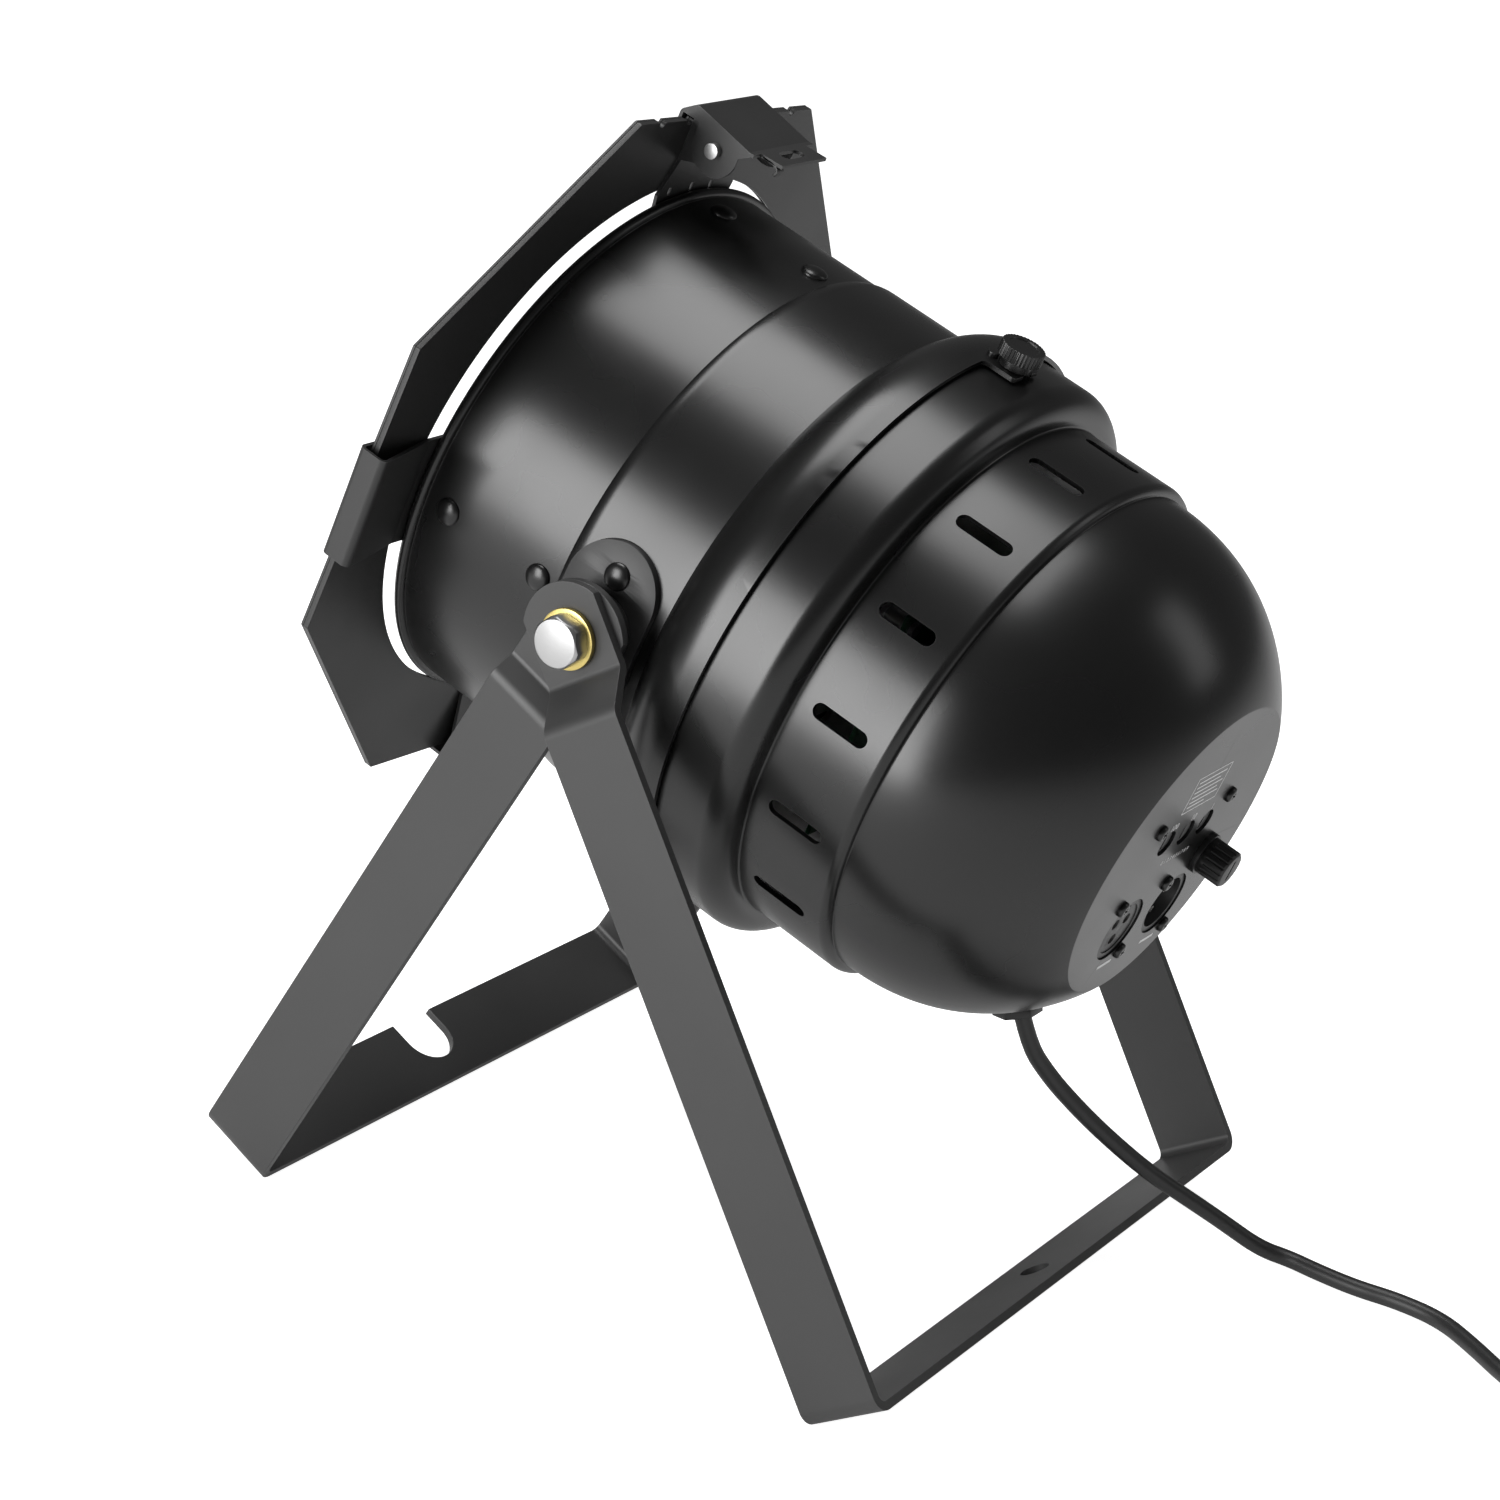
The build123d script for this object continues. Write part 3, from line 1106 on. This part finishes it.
# ---------------------------------------------------------------- mains cord
def cord_route():
    """Corner points of the cord's route, from inside the gland to the coil, in the part frame."""
    tilt = math.radians(CAN_TILT)
    spot = in_can(GLAND.location).position
    normal = GLAND.z_dir
    way_y = normal.Y * math.cos(tilt) + normal.Z * math.sin(tilt)
    way_z = normal.Z * math.cos(tilt) - normal.Y * math.sin(tilt)
    start = (0, spot.Y - CORD_INSIDE * way_y, spot.Z - CORD_INSIDE * way_z)
    drop = (0, spot.Y + CORD_DROP * way_y, spot.Z + CORD_DROP * way_z)
    lie = CORD_RADIUS
    outer_turn = COIL_TURN + CORD_RADIUS
    meet = math.radians(COIL_ENTRY)
    edge_x = COIL_X + outer_turn * math.cos(meet)
    edge_y = COIL_Y + outer_turn * math.sin(meet)
    last = []
    for reach in (COIL_STUB + COIL_LEAD, COIL_STUB):
        last.append((edge_x + reach * math.sin(meet), edge_y - reach * math.cos(meet), lie))
    return [start, drop, (-24, 133, 53), (-57, 163, 26), (-79, 177, 6), (-84, 199, lie),
            (-79, 221, lie), (-83, 241, lie), *last]


def round_route(points):
    """Bend radius at each corner of a route: as wide as its shorter run allows."""
    radii = []
    for before, at, after in zip(points, points[1:], points[2:]):
        one = Vector(*at) - Vector(*before)
        two = Vector(*after) - Vector(*at)
        turn = math.radians(one.get_angle(two))
        radii.append(0.45 * min(one.length, two.length) / math.tan(turn / 2))
    return radii


def swept(points, radius):
    radii = round_route(points)
    path = FilletPolyline(*points, radius=radii)
    start = Plane(origin=path @ 0, z_dir=path % 0)
    return sweep(start * Circle(radius), path=path), path.length, radii


def cord_coil():
    """The unused length: turns lying two wide and two high, with a short end either way."""
    half = COIL_SIDE / 2
    section = Pos(COIL_TURN, half) * RectangleRounded(COIL_SIDE, COIL_SIDE, half - 0.4)
    ring = revolve(Plane.XZ * section, axis=Axis.Z)
    outer_turn = COIL_TURN + CORD_RADIUS
    entry = Pos(outer_turn, -COIL_STUB / 2, CORD_RADIUS) * Rot(90, 0, 0) * Cylinder(CORD_RADIUS, COIL_STUB)
    leave = Pos(outer_turn, COIL_STUB / 2, 3 * CORD_RADIUS) * Rot(90, 0, 0) * Cylinder(CORD_RADIUS, COIL_STUB)
    coil = ring + Rot(0, 0, COIL_ENTRY) * entry + Rot(0, 0, COIL_EXIT) * leave
    return Pos(COIL_X, COIL_Y, 0) * coil


def plug_parts():
    """Generic round mains plug lying on its back, with its strain relief towards the coil."""
    level = 3 * CORD_RADIUS
    gap = COIL_STUB
    centre_y = gap + PLUG_RELIEF + PLUG_RADIUS - 2
    body = Pos(0, centre_y, PLUG_HEIGHT / 2) * Cylinder(PLUG_RADIUS, PLUG_HEIGHT)
    rims = body.edges().filter_by(GeomType.CIRCLE)
    body = fillet(rims, 1.5)
    length = PLUG_RELIEF + 6
    relief = Pos(0, gap + length / 2, level) * Rot(-90, 0, 0) * Cone(CORD_RADIUS + 0.8, 7.5, length)
    body += relief
    pins = []
    for side in (-1, 1):
        place = Pos(side * PLUG_PIN_PITCH / 2, centre_y, PLUG_HEIGHT + PLUG_PIN_LENGTH / 2 - 2)
        one = place * Cylinder(PLUG_PIN_RADIUS, PLUG_PIN_LENGTH + 4)
        body -= one
        pins.append(one)
    outer_turn = COIL_TURN + CORD_RADIUS
    where = Pos(COIL_X, COIL_Y, 0) * Rot(0, 0, COIL_EXIT) * Pos(outer_turn, 0, 0)
    return where * body, where * Compound(children=pins)


# ---------------------------------------------------------------- wiring inside the housing
def mains_loom():
    """From the cord's inner end to the supply's terminal block."""
    inner = GLAND.origin - GLAND.z_dir * CORD_INSIDE
    turn = GLAND.origin - GLAND.z_dir * (CORD_INSIDE + 14)
    x, u = TERMINALS
    top = SUPPLY_FACE + BOARD + TERMINAL_HEIGHT
    return swept([tuple(inner), tuple(turn), (x, top + 22, u), (x, top, u)], LOOM_RADIUS)[0]


def led_loom():
    """From the supply board, through the chassis plate, to the back of the light engine."""
    start = SUPPLY_FACE + BOARD
    points = [(22, start, -38), (22, start + 14, -38), (4, start + 12, LOOM_HOLE_U + 2),
              (0, CHASSIS_BACK - 12, LOOM_HOLE_U), (0, 15, -56), (0, ENGINE_FLANGE_FACE, -56)]
    return swept(points, LOOM_RADIUS)[0]


# ---------------------------------------------------------------- assembly
def build_nodes():
    nodes = {}
    can = {}
    can["front_barrel"] = front_barrel()
    can["seam_gasket"] = seam_gasket()
    can["barrel_rivets"] = barrel_rivets()
    can["lug_rivets"] = lug_rivets()
    can["clip_right"] = turned(clip(), 90)
    can["clip_left"] = turned(clip(), -90)
    can["clip_bottom"] = turned(clip(), 180)
    can["latch_base"] = latch_base()
    can["latch_arm"] = latch_arm()
    can["latch_bolt"] = latch_bolt()
    can["colour_frame_rear"], can["colour_frame_front"] = frame_layers()
    for name, maker in (("lug", pivot_lug), ("spacer", pivot_spacer), ("weld_nut", pivot_nut),
                        ("bolt", pivot_bolt), ("washer", pivot_washer)):
        one = maker()
        can["pivot_" + name + "s"] = Compound(children=[one, mirrored(one)])
    can["rear_housing"] = rear_housing()
    can["thumb_screw"] = thumb_screw()
    can["thumb_screw_nut"] = knob_nut()
    can["xlr_female_shell"], can["xlr_female_insert"], can["xlr_female_contacts"] = xlr_female_parts()
    can["xlr_male_shell"], can["xlr_male_insert"], can["xlr_male_pins"] = xlr_male_parts()
    can["panel_screws"] = panel_screws()
    can["panel_nuts"] = panel_nuts()
    can["control_board_posts"] = board_posts()
    can["control_board"] = control_board()
    can["control_board_parts"] = board_chips()
    can["code_switch_bodies"] = dial_bodies()
    can["code_dial_hundreds"] = dial_rotor(DIAL_PITCH)
    can["code_dial_tens"] = dial_rotor(0)
    can["code_dial_units"] = dial_rotor(-DIAL_PITCH)
    can["fuse_holder"], can["fuse_cap"], can["fuse_link"] = fuse_parts()
    can["led_lenses"] = lenses()
    can["led_mask"] = led_mask()
    can["led_board"] = engine_disc(LED_BOARD_RADIUS, LED_BOARD_FACE, SPREADER_FACE)
    can["heat_spreader"] = engine_disc(SPREADER_RADIUS, SPREADER_FACE, ENGINE_FLANGE_FACE)
    can["engine_screws"] = engine_screws()
    angle = engine_bracket()
    can["engine_brackets"] = Compound(children=[turned(angle, a) for a in (0, 90, 180, 270)])
    can["chassis_plate"] = chassis_plate()
    can["chassis_fixings"] = chassis_fixings()
    can["supply_board"] = supply_board()
    can["supply_transformer"], can["supply_components"], can["supply_heat_sink"] = supply_parts()
    can["mains_loom"] = mains_loom()
    can["led_loom"] = led_loom()
    can["cable_gland"], can["cable_gland_nut"] = gland_parts()
    for name, shape in can.items():
        nodes[name] = in_can(shape)
    nodes["bracket_outer"] = in_outer(bracket_outer())
    nodes["bracket_inner"] = in_inner(bracket_inner())
    return nodes


def depth_middle(nodes):
    """Middle of the object front to back, without its cord."""
    boxes = [shape.bounding_box() for shape in nodes.values()]
    return (min(box.min.Y for box in boxes) + max(box.max.Y for box in boxes)) / 2


nodes = build_nodes()
shift = -depth_middle(nodes)
route = cord_route()
cord, cord_length, cord_radii = swept(route, CORD_RADIUS)
nodes["mains_cord"] = cord
nodes["mains_cord_coil"] = cord_coil()
nodes["mains_plug"], nodes["mains_plug_pins"] = plug_parts()

for name, shape in nodes.items():
    export_step(Pos(0, shift, 0) * shape, "parts/" + name + ".step")

print("nodes", len(nodes))
print("pivot y", round(shift, 4), "pivot height", round(PIVOT_HEIGHT, 4), "inner lean", round(INNER_LEAN, 4))
print("cord length", round(cord_length, 1), "radii", [round(r, 1) for r in cord_radii])
print("cord volume", round(cord.volume, 1), "section x length",
      round(math.pi * CORD_RADIUS ** 2 * cord_length, 1))
print("route", [tuple(round(c, 2) for c in (p[0], p[1] + shift, p[2])) for p in route])
